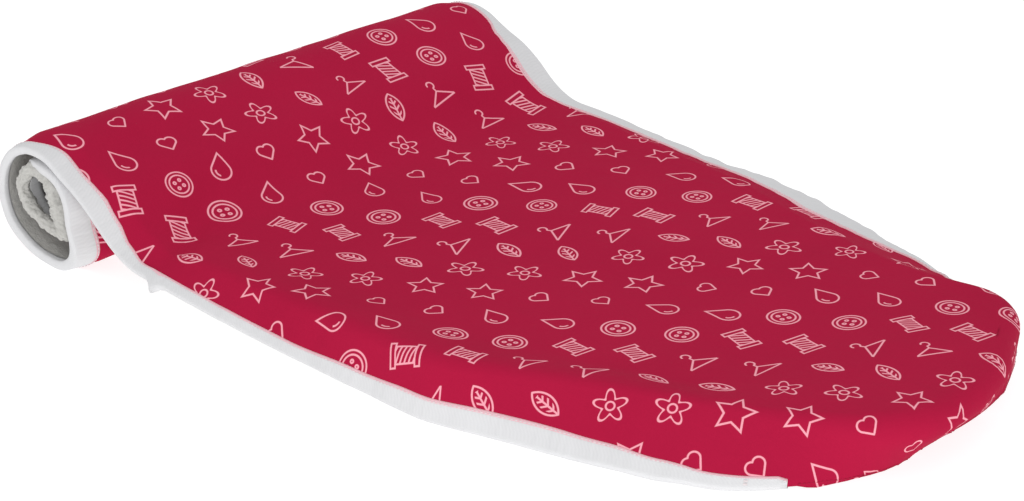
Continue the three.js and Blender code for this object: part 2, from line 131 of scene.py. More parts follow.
# Panel half widths as shares of half the roll's width, skirt slants in degrees and skirt drops as
# shares of the way to the floor: [along, near width, far width, near slant, far slant, near drop, far drop]
OPEN_END = [
    (0, 0.88, 0.88, 30, 14, 0.38, 0.18),
    (0.12, 0.865, 0.86, 42, 18, 0.58, 0.28),
    (0.25, 0.845, 0.825, 54, 20, 0.78, 0.36),
    (0.39, 0.835, 0.79, 62, 17, 0.9, 0.36),
    (0.46, 0.83, 0.755, 65, 15, 0.95, 0.33),
    (0.52, 0.815, 0.715, 65, 15, 1, 0.34),
    (0.6, 0.74, 0.675, 56, 17, 1, 0.4),
    (0.69, 0.65, 0.64, 47, 20, 1, 0.46),
    (0.77, 0.57, 0.625, 42, 26, 1, 0.58),
    (0.84, 0.505, 0.64, 42, 38, 1, 0.76),
    (0.9, 0.44, 0.656, 46, 68, 1, 0.95),
    (0.955, 0.355, 0.588, 64, 94, 1, 1),
]
NOSE_CORNERS = (0.275, 0.43)
NOSE_BLEND_FROM = 0.8
NOSE_BLEND_STOPS = 4
TAPE_END = 0.93
TAPE_END_SLANT = 0.028
TAPE_CUT = TAPE_END + 0.6 * TAPE_END_SLANT
TO_FLOOR = TAPE_END + 1.3 * TAPE_END_SLANT

# The tape's outer leg as shares of its width at the heel: [way, near, far]. The way counts turns of
# the roll below nought, the slope up to one and the open end up to two
TAPE_LEGS = [
    (-0.72, 1, 1), (-0.5, 0.4, 0.4), (-0.12, 0.41, 0.45), (0, 0.75, 0.55),
    (0.2, 0.7, 1), (0.31, 0.74, 1.2), (0.45, 0.8, 1.35), (0.58, 0.74, 1.45),
    (0.67, 0.72, 1.45), (0.82, 0.56, 1.4), (0.95, 0.38, 1.15), (1.12, 0.41, 1.15),
    (1.27, 0.43, 1.22), (1.4, 0.58, 1.35), (1.5, 0.73, 1.45), (1.58, 0.79, 1.3),
    (1.66, 0.81, 0.85), (1.74, 0.74, 0.45), (1.81, 0.62, 0.16), (1.87, 0.44, 0.14),
    (1.925, 0.36, 0.14),
]
LANDING_WAY = 0.8
SKIRT_SPREAD = 0.55

# How finely the cloth is divided
SLOPE_ROWS = 14
LANDING_ROWS = 8
TAIL_ROWS = 116
PANEL_COLUMNS = 64
COLUMN_CROWDING = 0.35
BEND_RINGS = 6
FALL_RINGS = 8

# Soft shape that the plain map leaves out. Where something grows and fades again, four numbers say from
# where to where it grows and from where to where it fades

# The panel's waves as depth, length and seed, and the pull of the elastic at the foot of the slope as
# depth and length
WAVES = [(1.5 * MM, 85 * MM, 3.1), (0.7 * MM, 34 * MM, 8.7)]
PULL = (0.49 * MM, 12 * MM)
PULL_ALONG = (0, 0.05, 0.12, 0.3)
PULL_ACROSS = (0.55, 0.95)
EDGE_ACROSS = (0.86, 1)
EDGE_CALM = 0.35
INNER_TURN_CALM = 0.3

# The panel's hollow behind the near crease
DISH_DEPTH = 6.5 * MM
DISH_ALONG = (0.9, 1.15, 1.78, 1.9)
DISH_ACROSS = (-0.985, -0.74, -0.35, 0.75)

# The gathers of the skirt: their lengths, and their depths on the slope and along the open end
GATHER, FINE_GATHER = 21 * MM, 9 * MM
SLOPE_GATHERS, TAIL_GATHERS = 0.5 * MM, 2.3 * MM
FINE_SHARE = 0.3
GATHERS_GROW = (0.05, 0.15)
NOSE_CALM, NOSE_CALMS = 0.75, (0.8, 0.93)

# How far the bottom of the roll's near end has slumped
SAG = 24 * MM
SAG_HEIGHT = (3 * MM, 49 * MM)
SAG_NEAR = (60 * MM, 240 * MM)
SAG_ALONG = (ROLL_X - 48 * MM, ROLL_X + 4 * MM, ROLL_X + 34 * MM, ROLL_X + 86 * MM)

# A fold that runs up the foot of the slope from the near edge, and the tape's kink beside it
FOLD_FROM = Vector((-0.196, -0.238))
FOLD_TO = Vector((-0.264, -0.114))
FOLD_DEPTH = 5 * MM
FOLD_WIDTH = 14 * MM
FOLD_ALONG = (0, 0.16, 0.45, 1)
KINK_X = -0.199
KINK_REACH = 7 * MM
KINK_WIDTH = 4.5 * MM


def lerp(a, b, t):
    return a + (b - a) * t


def smooth(value, low, high):
    t = min(max((value - low) / (high - low), 0), 1)
    return t * t * (3 - 2 * t)


def hump(value, low, grown, fading, gone):
    """Grows from nought to one between the first two limits and fades again between the last two."""
    return smooth(value, low, grown) * (1 - smooth(value, fading, gone))


def between(a, b, turn):
    """Turns from one direction towards another at a right angle to it."""
    return a * math.cos(turn) + b * math.sin(turn)


def runs_of(points):
    """The length along the points up to each of them."""
    runs = [0.0]
    for a, b in zip(points, points[1:]):
        runs.append(runs[-1] + (b - a).length)
    return runs


def skirt_at(length, slant):
    """How far out and down a skirt reaches at a length past the crease, and how far it has turned."""
    bend = min(max(length, 0), CREASE_RADIUS * slant)
    turned = bend / CREASE_RADIUS
    straight = length - bend
    out = CREASE_RADIUS * math.sin(turned) + straight * math.cos(turned)
    down = CREASE_RADIUS * (1 - math.cos(turned)) + straight * math.sin(turned)
    return out, down, turned


def skirt_length(drop, slant):
    bent = CREASE_RADIUS * (1 - math.cos(slant))
    return CREASE_RADIUS * slant + (drop - bent) / math.sin(slant)


def full_drop(height, slant):
    return height - SEAM_LIFT - max(RIM_DEPTH * math.cos(slant), 0)


ROLL_SKIRT = skirt_length(RIM_DROP, RIM_ANGLE)
ROLL_CREASE = HALF_WIDTH - skirt_at(ROLL_SKIRT, RIM_ANGLE)[0]
ALONG_SLOPE = Vector((-math.cos(SLOPE), math.sin(SLOPE)))
OFF_SLOPE = Vector((math.sin(SLOPE), math.cos(SLOPE)))
ROLL_HEIGHT = math.hypot(UNDER_RADIUS * ALONG_SLOPE.y, SHORT_RADIUS * OFF_SLOPE.y)


def roll_point(angle):
    quarters = max(0, (angle - LOOSE_FROM) / (math.pi / 2))
    shrink = TURN_STEP * quarters * (1 + SLACK_SHARE * (1 - quarters))
    radius = UNDER_RADIUS if math.sin(angle) < 0 else LONG_RADIUS
    return (
        Vector((ROLL_X, ROLL_HEIGHT))
        + ALONG_SLOPE * (radius - shrink) * math.sin(angle)
        + OFF_SLOPE * (SHORT_RADIUS - shrink) * math.cos(angle)
    )


class Side:
    """One side's crease and skirt at a station."""

    def __init__(self, width, slant, skirt):
        self.width, self.slant, self.skirt = width, slant, skirt

    def towards(self, other, t):
        slant = lerp(self.slant, other.slant, t)
        return Side(lerp(self.width, other.width, t), slant, lerp(self.skirt, other.skirt, t))


def leg_share(way, column):
    """The tape's leg on one side, between the rows of its table."""
    to = next((k for k, row in enumerate(TAPE_LEGS) if row[0] > way), len(TAPE_LEGS) - 1)
    a, b = TAPE_LEGS[max(to - 1, 0)], TAPE_LEGS[max(to, 1)]
    return lerp(a[column], b[column], smooth(way, a[0], b[0]))


class Station:
    """One line across the cover."""

    def __init__(self, x, z, normal, way, near, far, bulge=0):
        self.x, self.z, self.way, self.near, self.far, self.bulge = x, z, way, near, far, bulge
        self.normal = Vector((normal.x, 0, normal.y)).normalized()
        self.angle = max(-way, 0) * math.tau
        self.tail = max(way - 1, 0)


def normal_of(profile, value, step):
    """The normal of a profile that runs towards the nose as its parameter grows."""
    along = profile(value + step) - profile(value - step)
    return Vector((-along.y, along.x)).normalized()


def roll_side(angle, normal):
    inner = lerp(1, INNER_TURN_RIM, smooth(angle, math.tau, math.pi * 2.7))
    laid = lerp(INNER_TURN_RIM, 1, (normal.y + 1) / 2)
    width = ROLL_CREASE - INNER_TURN_INSET * smooth(angle, math.radians(372), math.radians(425))
    return Side(width, RIM_ANGLE * min(inner, laid), ROLL_SKIRT)


def roll_stations():
    count = math.ceil(ROLL_END / ROLL_STEP)
    for k in range(count, -1, -1):
        angle = ROLL_END * k / count
        normal = normal_of(roll_point, angle, -0.01)
        p = roll_point(angle)
        side = roll_side(angle, normal)
        yield Station(p.x, p.y, normal, -angle / math.tau, side, side)


SLOPE_TOP = roll_point(0)
SLOPE_LENGTH = (SLOPE_TOP.y - PANEL_HEIGHT) / math.sin(SLOPE)
LANDING_X = SLOPE_TOP.x + SLOPE_LENGTH * math.cos(SLOPE)
LANDING_CUT = LANDING_RADIUS * math.tan(SLOPE / 2)
TAIL_START = LANDING_X + LANDING_CUT
TAIL_END = TAIL_START + TAIL_LENGTH - NOSE_BULGE


def slope_point(share):
    """The slope, which swells a little off a straight line."""
    swell = SLOPE_SWELL * math.sin(math.pi * min(max(share, 0), 1)) ** 2
    return SLOPE_TOP - ALONG_SLOPE * (SLOPE_LENGTH - LANDING_CUT) * share + OFF_SLOPE * swell


def skirt_side(width, slant, drop, height):
    slant = math.radians(slant)
    return Side(HALF_WIDTH * width, slant, skirt_length(full_drop(height, slant) * min(drop, 1), slant))


def slope_station(x, z, normal, way):
    """A line across the slope, whose skirts spread from the roll's to the open end's."""
    top = roll_side(0, OFF_SLOPE)
    spread = smooth(way, 0, SKIRT_SPREAD)
    landed = [skirt_side(*OPEN_END[0][column::2], PANEL_HEIGHT) for column in (1, 2)]
    return Station(x, z, normal, way, *[top.towards(side, spread) for side in landed])


def slope_stations():
    for k in range(1, SLOPE_ROWS + 1):
        p = slope_point(k / SLOPE_ROWS)
        normal = normal_of(slope_point, k / SLOPE_ROWS, 0.01)
        yield slope_station(p.x, p.y, normal, LANDING_WAY * k / SLOPE_ROWS)
    for k in range(LANDING_ROWS - 1, -1, -1):
        angle = SLOPE * k / LANDING_ROWS
        x = TAIL_START - LANDING_RADIUS * math.sin(angle)
        z = PANEL_HEIGHT + LANDING_RADIUS * (1 - math.cos(angle))
        way = lerp(1, LANDING_WAY, k / LANDING_ROWS)
        yield slope_station(x, z, Vector((math.sin(angle), math.cos(angle))), way)


CORNER_SLANT = math.degrees(NOSE_CORNER_ANGLE)
TABLE = [*OPEN_END, (1, *NOSE_CORNERS, CORNER_SLANT, CORNER_SLANT, 1, 1)]


def table_at(along, column):
    """One column of the table at a share along the open end, as a smooth curve through its rows."""
    to = next((k for k, row in enumerate(TABLE) if row[0] > along), len(TABLE) - 1)

    def rise(a, b):
        return (TABLE[b][column] - TABLE[a][column]) / (TABLE[b][0] - TABLE[a][0])

    here = rise(to - 1, to)
    before = (here + rise(to - 2, to - 1)) / 2 if to > 1 else here
    after = (here + rise(to, to + 1)) / 2 if to + 1 < len(TABLE) else here
    span = TABLE[to][0] - TABLE[to - 1][0]
    t = (along - TABLE[to - 1][0]) / span
    bend = t * (1 - t) * span
    value = lerp(TABLE[to - 1][column], TABLE[to][column], t)
    return value + bend * ((1 - t) * (before - here) - t * (after - here))


def tail_stations():
    for k in range(1, TAIL_ROWS + 1):
        along = k / TAIL_ROWS
        z = lerp(PANEL_HEIGHT, NOSE_HEIGHT, along)
        sides = [skirt_side(*[table_at(along, c) for c in columns], z) for columns in ((1, 3, 5), (2, 4, 6))]
        x = lerp(TAIL_START, TAIL_END, along)
        bulge = NOSE_BULGE * along**NOSE_BULGE_POWER
        yield Station(x, z, Vector((0, 1)), 1 + along, *sides, bulge)


STATIONS = [*roll_stations(), *slope_stations(), *tail_stations()]
LAST = len(STATIONS) - 1
RINGS = BEND_RINGS + FALL_RINGS
EVEN_SHARES = [2 * k / PANEL_COLUMNS - 1 for k in range(PANEL_COLUMNS + 1)]
SHARES = [math.sin(math.pi / 2 * t) * COLUMN_CROWDING + t * (1 - COLUMN_CROWDING) for t in EVEN_SHARES]


def panel_point(row, share):
    s = STATIONS[row]
    width = s.near.width if share < 0 else s.far.width
    x = s.x + s.bulge * (1 - abs(share) ** NOSE_SHAPE_POWER - NOSE_SKEW * share)
    return Vector((x, share * width, s.z))


# The length of cloth from the heel to each station, along the middle line
SPINE = runs_of([panel_point(row, 0) for row in range(LAST + 1)])


def flat_point(row, share):
    """The place of a panel point on the flat cloth."""
    p = panel_point(row, share)
    return Vector((SPINE[row] + p.x - panel_point(row, 0).x, p.y))


class Stop:
    """A place on the panel's edge, with the skirt that falls from it."""

    def __init__(self, row, column):
        s = STATIONS[row]
        self.row, self.column, self.share = row, column, SHARES[column]
        side = s.near if self.share < 0 else s.far
        self.place = panel_point(row, self.share)
        self.normal, self.angle, self.tail = s.normal, s.angle, s.tail
        self.leg = LEG_WIDE * leg_share(s.way, 1 if self.share < 0 else 2)
        self.slant, self.skirt = side.slant, side.skirt
        if row == LAST:
            self.slant = lerp(NOSE_TIP_ANGLE, NOSE_CORNER_ANGLE, self.share * self.share)
            self.skirt = skirt_length(full_drop(s.z, self.slant), self.slant)
        self.flat = flat_point(row, self.share)

    def on(self, length, depth):
        """A point of the skirt this far past the crease and this deep under the print."""
        out, down, turned = skirt_at(length, self.slant)
        facing = between(self.normal, self.out, turned)
        return self.place + self.out * out - self.normal * down - facing * depth

    def rim(self):
        """The way out of the cloth and the print's normal, at the rim."""
        turned = min(self.skirt / CREASE_RADIUS, self.slant)
        return between(self.out, -self.normal, turned), between(self.normal, self.out, turned)


def edge_stops():
    """The panel's edge, from the heel along the near side, round the nose and back."""
    stops = [Stop(i, 0) for i in range(LAST + 1)]
    stops += [Stop(LAST, j) for j in range(1, PANEL_COLUMNS + 1)]
    stops += [Stop(i, PANEL_COLUMNS) for i in range(LAST - 1, -1, -1)]
    places = [stops[0].place, *(stop.place for stop in stops), stops[-1].place]
    ways = [(ahead - behind).normalized() for behind, ahead in zip(places, places[2:])]
    for b, stop in enumerate(stops):
        reach = NOSE_BLEND_STOPS if stop.tail > NOSE_BLEND_FROM else 1
        near = ways[max(b - reach, 0) : b + reach + 1]
        along = sum(near, Vector()).normalized()
        stop.out = along.cross(stop.normal).normalized()
    return stops


EDGE = edge_stops()
NEAR_EDGE = EDGE[: LAST + 1]
NOSE_EDGE = EDGE[LAST : LAST + PANEL_COLUMNS + 1]
FAR_EDGE = EDGE[LAST + PANEL_COLUMNS :][::-1]


def ring_length(stop, ring, reach):
    """How far past the crease a ring lies: round the bend first, then down to the reach."""
    bend = min(CREASE_RADIUS * stop.slant, reach * 0.6)
    if ring <= BEND_RINGS:
        return bend * ring / BEND_RINGS
    return lerp(bend, reach, (ring - BEND_RINGS) / FALL_RINGS)


def ripple(p, size, seed):
    return noise.noise(Vector((p.x / size + seed, p.y / size - seed, p.z / size)))


def fold_depth(p):
    """How deep the fold at the foot of the slope is at a point of the panel."""
    way = FOLD_TO - FOLD_FROM
    reached = p.xy - FOLD_FROM
    t = min(max(reached.dot(way) / way.length_squared, 0), 1)
    away = (reached - way * t).length / FOLD_WIDTH
    return FOLD_DEPTH * math.exp(-away * away) * hump(t, *FOLD_ALONG)


def sag(p):
    """How far towards the nose the bottom of the roll's near end has slumped at a point."""
    low = 1 - smooth(p.z, *SAG_HEIGHT)
    return SAG * low * smooth(-p.y, *SAG_NEAR) * hump(p.x, *SAG_ALONG)


def panel_swell(row, share):
    """How far the padded panel stands off its plain shape."""
    s = STATIONS[row]
    p = panel_point(row, share)
    flat = Vector((SPINE[row], p.y, 0))
    hollow = 1 - smooth(abs(share), *EDGE_ACROSS)
    drape = sum(depth * ripple(flat, size, seed) for depth, size, seed in WAVES)
    pull = PULL[0] * math.sin(flat.x / PULL[1])
    pull *= smooth(abs(share), *PULL_ACROSS) * hump(s.tail, *PULL_ALONG)
    dish = DISH_DEPTH * hump(s.way, *DISH_ALONG) * hump(share, *DISH_ACROSS)
    fold = fold_depth(p) if s.way > 0 else 0
    loose = INNER_TURN_CALM if s.angle >= math.tau else 1
    return (drape * lerp(EDGE_CALM, 1, hollow) + pull) * loose - dish - fold


def skirt_swell(stop, length):
    """The gathers that the elastic draws into the skirt, which grow towards the rim."""
    share = length / max(stop.skirt, 1e-6)
    run = stop.flat.x if stop.row < LAST else stop.flat.x + stop.flat.y
    wave = noise.noise(Vector((run / GATHER, stop.column * 0.7, 1.3)))
    fine = noise.noise(Vector((run / FINE_GATHER, stop.column * 0.7, 5.9)))
    grown = smooth(stop.tail, *GATHERS_GROW) * (1 - NOSE_CALM * smooth(stop.tail, *NOSE_CALMS))
    depth = lerp(SLOPE_GATHERS, TAIL_GATHERS, grown)
    return (wave + fine * FINE_SHARE) * depth * share


def cover_vertex(i, j, depth, reach):
    """Where a grid point of the cloth lies, and its place on the flat cloth; None where it is cut away."""
    column = j - RINGS
    if i <= LAST and 0 <= column <= PANEL_COLUMNS:
        share = SHARES[column]
        lift = panel_swell(i, share) - depth(i, share, 0)
        return panel_point(i, share) + STATIONS[i].normal * lift, flat_point(i, share)
    if i <= LAST:
        stop, ring = (NEAR_EDGE[i], -column) if column < 0 else (FAR_EDGE[i], column - PANEL_COLUMNS)
    elif 0 <= column <= PANEL_COLUMNS:
        stop, ring = NOSE_EDGE[column], i - LAST
    else:
        return None
    length = ring_length(stop, ring, reach(stop))
    fading = 1 - min(length / stop.skirt, 1)
    lift = panel_swell(stop.row, stop.share) * fading + skirt_swell(stop, length)
    place = stop.on(length, depth(stop.row, stop.share, length) - lift)
    flat_out = stop.out.xy if stop.tail else Vector((0, math.copysign(1, stop.share)))
    return place, stop.flat + flat_out.normalized() * length


def grid(rows, columns, layer):
    """A flat grid as a bmesh, its new UV layer, and each vertex with its row and column."""
    bm = bmesh.new()
    bmesh.ops.create_grid(bm, x_segments=rows, y_segments=columns, size=1)
    uv = bm.loops.layers.uv.new(layer)
    cells = [(v, round((v.co.x + 1) / 2 * rows), round((v.co.y + 1) / 2 * columns)) for v in bm.verts]
    return bm, uv, cells


def lay_out(bm, uv, flats):
    """Writes each vertex's place on the flat piece into the UV layer."""
    for face in bm.faces:
        for loop in face.loops:
            loop[uv].uv = flats[loop.vert]


def cover_surface(depth, reach, facing_out=True):
    """A cloth surface as a bmesh: a flat grid without its nose corners, laid on the map."""
    bm, uv, cells = grid(LAST + RINGS, PANEL_COLUMNS + 2 * RINGS, "flat_cloth")
    flats, cut = {}, []
    for v, i, j in cells:
        found = cover_vertex(i, j, depth, reach)
        if found is None:
            cut.append(v)
        else:
            v.co, flats[v] = found
    bmesh.ops.delete(bm, geom=cut, context="VERTS")
    lay_out(bm, uv, flats)
    if not facing_out:
        bmesh.ops.reverse_faces(bm, faces=bm.faces)
    bmesh.ops.remove_doubles(bm, verts=bm.verts, dist=MERGE)
    return bm


def mesh_of(name, bm):
    mesh = bpy.data.meshes.new(name)
    bm.to_mesh(mesh)
    bm.free()
    return mesh


def join(bm, other):
    """Moves one bmesh into another."""
    spare = mesh_of("spare", other)
    bm.from_mesh(spare)
    bpy.data.meshes.remove(spare)


def linked(name, data):
    obj = bpy.data.objects.new(name, data)
    bpy.context.scene.collection.objects.link(obj)
    return obj


def piece(name, bm, replaces, build, thickness=0):
    """An object of the finished mesh that rides on the frame and stands for the named nodes."""
    for v in bm.verts:
        v.co.x += sag(v.co)
    obj = linked(name, mesh_of(name, bm))
    obj.data.polygons.foreach_set("use_smooth", [True] * len(obj.data.polygons))
    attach(obj, "root")
    if replaces:
        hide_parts(*replaces)
    if thickness:
        made = obj.modifiers.new("thickness", "SOLIDIFY")
        made.thickness, made.offset, made.use_even_offset = thickness, -1, False
    obj.data.materials.append(finish_of(build))
    return obj


def joins(operation):
    """What an arithmetic sign does with values: it joins them into a Math node."""
    return lambda value, *others: value.math(operation, *others)


class Value:
    """A node's output or a number, which arithmetic signs join into Math nodes."""

    def __init__(self, finish, source):
        self.finish, self.source = finish, source

    def math(self, operation, *others):
        return self.finish.node("Math", {"operation": operation}, self, *others)

    __add__ = __radd__ = joins("ADD")
    __sub__ = joins("SUBTRACT")
    __mul__ = __rmul__ = joins("MULTIPLY")
    __truediv__ = joins("DIVIDE")
    __mod__ = joins("FLOORED_MODULO")
    __gt__ = joins("GREATER_THAN")
    __lt__ = joins("LESS_THAN")
    __abs__ = joins("ABSOLUTE")

    def __rsub__(self, other):
        return Value(self.finish, other) - self


class Finish:
    """A material's nodes under construction."""

    def __init__(self, name):
        self.material = bpy.data.materials.new(name)
        self.material.use_nodes = True
        self.tree = self.material.node_tree
        self.tree.nodes.clear()
        self.output = self.tree.nodes.new("ShaderNodeOutputMaterial")

    def feed(self, socket, value):
        source = value.source if isinstance(value, Value) else value
        if isinstance(source, bpy.types.NodeSocket):
            self.tree.links.new(source, socket)
        elif socket.type == "RGBA" and len(source) == 3:
            socket.default_value = (*source, 1)
        else:
            socket.default_value = source

    def node(self, kind, settings=None, *values, out=0, **named):
        """Any node: its settings first, then its sockets in order or by name, where None leaves a
        socket as it is. Gives one output."""
        made = self.tree.nodes.new(f"ShaderNode{kind}")
        for key, value in (settings or {}).items():
            setattr(made, key, value)
        sockets = [*enumerate(values), *((key.replace("_", " "), value) for key, value in named.items())]
        for key, value in sockets:
            if value is not None:
                self.feed(made.inputs[key], value)
        return Value(self, made.outputs[out])

    def mix(self, factor, a, b):
        """Two colours mixed; the Mix node's colour sockets come after its number and vector ones."""
        sockets = (factor, None, None, None, None, None, a, b)
        return self.node("Mix", {"data_type": "RGBA"}, *sockets, out=2)

    def shaded(self, factor, colour, share):
        """A colour, darkened to a share of itself where the factor is nought."""
        return self.mix(factor, tuple(c * share for c in colour), tuple(colour))

    def flat(self, layer):
        """The piece's own flat coordinates in millimetres, along and across."""
        uv = self.node("UVMap", {"uv_map": layer})
        return [self.node("SeparateXYZ", None, uv, out=axis) * 1000 for axis in ("X", "Y")]

    def vector(self, x, y, z=0.0):
        return self.node("CombineXYZ", None, x, y, z)

    def object_place(self):
        return self.node("TexCoord", None, out="Object")

    def noise(self, place, scale, detail=2.0, roughness=0.5):
        return self.node("TexNoise", None, Vector=place, Scale=scale, Detail=detail, Roughness=roughness)

    def bump(self, height, strength, distance, normal=None):
        return self.node("Bump", None, Strength=strength, Distance=distance, Height=height, Normal=normal)

    def surface(self, colour, roughness, normal=None, specular=0.2, **more):
        """The finished surface, joined to the material's output."""
        shader = self.node(
            "BsdfPrincipled", None, Base_Color=colour, Roughness=roughness, Normal=normal,
            Specular_IOR_Level=specular, **more)
        self.feed(self.output.inputs["Surface"], shader)


def least(first, *others):
    for value in others:
        first = first.math("MINIMUM", value)
    return first


def most(a, b):
    return a.math("MAXIMUM", b)


def reach_of(x, y):
    return (x * x + y * y).math("SQRT")


def outside(distance, limit):
    """A large number where the distance passes the limit, so that a line ends there."""
    return (distance > limit) * 50


# Each motif of the print gives how far a point, in millimetres from the motif's middle, is from its lines


def button(x, y):
    r = reach_of(x, y)
    holes = abs(reach_of(abs(x) - 2.7, abs(y) - 2.7) - 1.1)
    return least(abs(r - 11.2), abs(r - 8.2), holes)


def flower(x, y):
    r = reach_of(x, y)
    turn = x.math("ARCTAN2", y) * 5
    petals = abs(r - 8.8 - turn.math("COSINE") * 3) * 0.75
    return least(petals, abs(r - 3))


def leaf(x, y):
    edge = most(reach_of(x - 9, y), reach_of(x + 9, y)) - 15
    vein = abs(x) + outside(abs(y + 1.5), 9.5)
    twigs = abs((y - abs(x) * 0.9) % 5 - 2.5) * 0.74 + outside(edge, -2) + outside(abs(y), 8)
    return least(abs(edge), vein, twigs)


def star(x, y):
    sector = math.tau / 5
    turn = abs((x.math("ARCTAN2", y) + sector / 2) % sector - sector / 2)
    r = reach_of(x, y)
    px, py = r * turn.math("COSINE"), r * turn.math("SINE")
    notch = Vector((6.4 * math.cos(sector / 2), 6.4 * math.sin(sector / 2)))
    way = (notch - Vector((13, 0))).normalized()
    return abs((px - 13) * way.y - py * way.x)


def spool(x, y):
    plate = abs(most(abs(x) - 8.5, abs(abs(y) - 10) - 2))
    sides = abs(abs(x) - 6) + outside(abs(y), 8)
    thread = abs((y + x * 0.4) % 3.6 - 1.8) * 0.93 + outside(abs(x), 6) + outside(abs(y), 8)
    return least(plate, sides, thread)


def drop(x, y):
    radius, tip = 7.5, 15.5
    lean = math.asin(radius / tip)
    qx, qy = abs(x), y + 3.5
    along = qy * math.cos(lean) - qx * math.sin(lean)
    flank = qx * math.cos(lean) + qy * math.sin(lean) - radius
    high = along > 0
    round_part = reach_of(qx, qy) - radius
    edge = abs(flank * high + round_part * (1 - high))
    shine = abs(reach_of(x, qy) - 4.3) + outside(x, -1) + outside(qy, 0.5)
    return least(edge, shine)


def heart(x, y):
    size = 11.5
    qx, qy = abs(x) / size, y / size + 0.55
    upper = (qx + qy) > 1
    lobe = reach_of(qx - 0.25, qy - 0.75) - math.sqrt(2) / 4
    along = most(qx + qy, qx * 0) * 0.5
    point = least(reach_of(qx, qy - 1), reach_of(qx - along, qy - along)) * (qx - qy).math("SIGN")
    return abs(lobe * upper + point * (1 - upper)) * size


def hanger(x, y):
    lean = math.atan2(9, 13)
    arm = abs((y - 2.5) * math.cos(lean) + abs(x) * math.sin(lean)) + outside(abs(x), 13)
    bar = abs(y + 6.5) + outside(abs(x), 13)
    stem = abs(x) + outside(abs(y - 4), 1.8)
    hook = abs(reach_of(x, y - 8.7) - 3) + (x < 0) * (y < 8.7) * 50
    return least(arm, bar, stem, hook)


MOTIFS = [button, leaf, heart, spool, flower, drop, hanger, star]
MOTIF_STEPS = (3, 5)
MOTIF_DRIFT = (5, 4)
MOTIF_TURN = 0.9
MOTIF_SIZE, MOTIF_SHRINK = 0.95, 0.13

# In millimetres: how softly a printed line ends, the way from thread to thread of the cotton, and how wide
# the pink painted highlight along the tape's edge is
LINE_SOFTNESS = 0.22
WEAVE_PITCH = 0.9
PAINTED_HIGHLIGHT_EDGE = 1.6


def print_lines(finish, along, across, settings):
    """The ink of the print, from 0 to 1, on flat coordinates in millimetres."""
    pitch, row_pitch = settings.motif_pitch * 1000, settings.motif_row * 1000
    row = (along / row_pitch).math("FLOOR")
    shifted = across / pitch + (row % 2) * 0.5
    column = shifted.math("FLOOR")
    cells = (finish.vector(row, column, 0.5), finish.vector(column, row, 7.5))
    chance, other = (finish.node("TexWhiteNoise", {"noise_dimensions": "3D"}, cell) for cell in cells)
    x0 = (shifted - column - 0.5) * pitch + (other - 0.5) * MOTIF_DRIFT[0]
    y0 = (0.5 - (along / row_pitch - row)) * row_pitch + (chance - 0.5) * MOTIF_DRIFT[1]
    turn = (chance - 0.5) * MOTIF_TURN
    cosine, sine = turn.math("COSINE"), turn.math("SINE")
    grow = MOTIF_SIZE - other * MOTIF_SHRINK
    x = (x0 * cosine + y0 * sine) * grow
    y = (y0 * cosine - x0 * sine) * grow
    pick = (row * MOTIF_STEPS[0] + column * MOTIF_STEPS[1]) % len(MOTIFS)
    distance = sum(motif(x, y) * pick.math("COMPARE", k, 0.3) for k, motif in enumerate(MOTIFS))
    half = settings.line_width * 500
    ink = (half + LINE_SOFTNESS - distance) / (2 * LINE_SOFTNESS)
    return ink.math("MINIMUM", 1).math("MAXIMUM", 0)


def ribs(place, pitch):
    """Soft ribs from 0 to 1, a pitch apart."""
    return (place * (math.tau / pitch)).math("SINE") * 0.5 + 0.5


def print_cotton_finish(finish, settings):
    """Deep red cotton with the white line print, woven and a little creased."""
    along, across = finish.flat("flat_cloth")
    ink = print_lines(finish, along, across, settings)
    worn = finish.noise(finish.vector(along, across), 0.9, 3.0)
    ink = ink * (0.8 + worn * 0.3).math("MINIMUM", 1)
    broad = finish.noise(finish.object_place(), 9.0, 3.0)
    yarn = finish.noise(finish.vector(along * 0.12, across * 2.2), 1.0)
    cross_yarn = finish.noise(finish.vector(along * 2.2, across * 0.12), 1.0)
    yarns = yarn + cross_yarn
    deep = tuple(c * 0.86 for c in settings.cotton_colour)
    light = tuple(min(c * 1.12 + 0.004, 1) for c in settings.cotton_colour)
    red = finish.mix(broad * 0.5 + yarns * 0.25, deep, light)
    colour = finish.mix(ink, red, tuple(settings.ink_colour))
    turns = math.tau / WEAVE_PITCH
    weave = ((along * turns).math("SINE") * (across * turns).math("SINE")) * 0.5 + 0.5
    cloth = finish.bump(weave * 0.4 + yarns * 0.8, 0.35, 0.00025)
    creases = finish.noise(finish.vector(along * 0.03, across * 0.05), 1.0, 4.0, 0.55)
    normal = finish.bump(creases, 0.25, 0.004, cloth)
    finish.surface(colour, 0.88 - ink * 0.12, normal, specular=0.06)


def casing_tape_finish(finish, settings):
    """White woven casing tape: fine ribs along it, soft puckers where the elastic draws it in, and a pink
    painted highlight along its edge.
    """
    along, across = finish.flat("tape_run")
    twill, fine = ribs(along * 0.5 + across, 1.5), ribs(along, 0.7)
    cloudy = finish.noise(finish.vector(along * 0.05, across * 0.12), 1.0, 3.0)
    plain = finish.shaded(cloudy * 0.7 + twill * 0.3, settings.tape_colour, 0.9)
    # Painted highlight: the tape's edge, where it curls down to the print, is tinted pink with the ink's
    # colour
    shade = finish.mix((across < PAINTED_HIGHLIGHT_EDGE) * 0.6, plain, tuple(settings.ink_colour))
    woven = finish.bump(twill * 0.6 + fine * 0.4, 0.3, 0.0002)
    pucker = finish.noise(finish.vector(along * 0.16, across * 0.03), 1.0)
    finish.surface(shade, 0.85, finish.bump(pucker, 0.5, 0.0025, woven))


def wadding_finish(finish, settings):
    """Off-white fibre wadding, matted into soft tufts."""
    place = finish.object_place()
    tufts = finish.noise(place, 130.0, 4.0, 0.6)
    fibre = finish.noise(place, 900.0, 3.0, 0.7)
    shade = finish.shaded(tufts * 0.7 + fibre * 0.3, settings.wadding_colour, 0.72)
    fine = finish.bump(fibre, 0.5, 0.0006)
    finish.surface(shade, 0.95, finish.bump(tufts, 0.6, 0.003, fine), specular=0.05)


